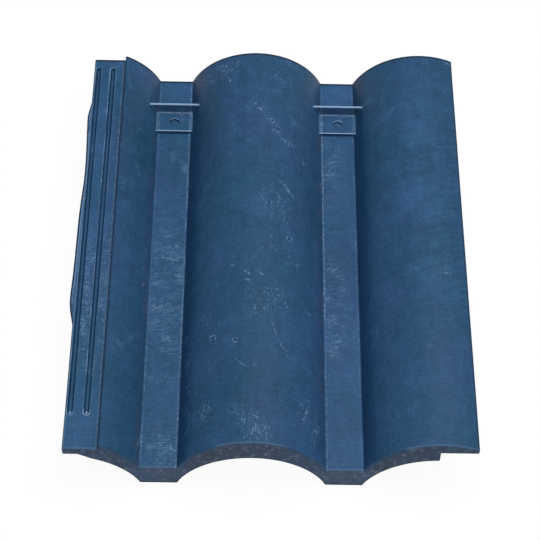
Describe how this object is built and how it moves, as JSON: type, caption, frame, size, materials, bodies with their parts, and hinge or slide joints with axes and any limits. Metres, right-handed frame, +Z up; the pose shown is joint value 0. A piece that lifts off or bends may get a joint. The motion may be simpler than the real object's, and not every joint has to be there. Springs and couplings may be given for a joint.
{
  "type": "interlocking barrel roof tile",
  "caption": "Concrete roof tile with rounded barrels between flat pans, a grooved side flange, weather bars and hanging nibs.",
  "frame": {"origin": "middle of the tile's footprint, on the level that its nose and nibs rest on", "axes": "+X across the tile towards the cover side, +Y up the roof from tail to head, +Z up from the pans to the barrels"},
  "size_m": [0.3338, 0.42, 0.0635],
  "materials": {
    "concrete_blue": "smooth cast blue face, rough grey cut tail"
  },
  "bodies": {
    "root": {"roof_tile": "concrete_blue"}
  },
  "joints": []
}
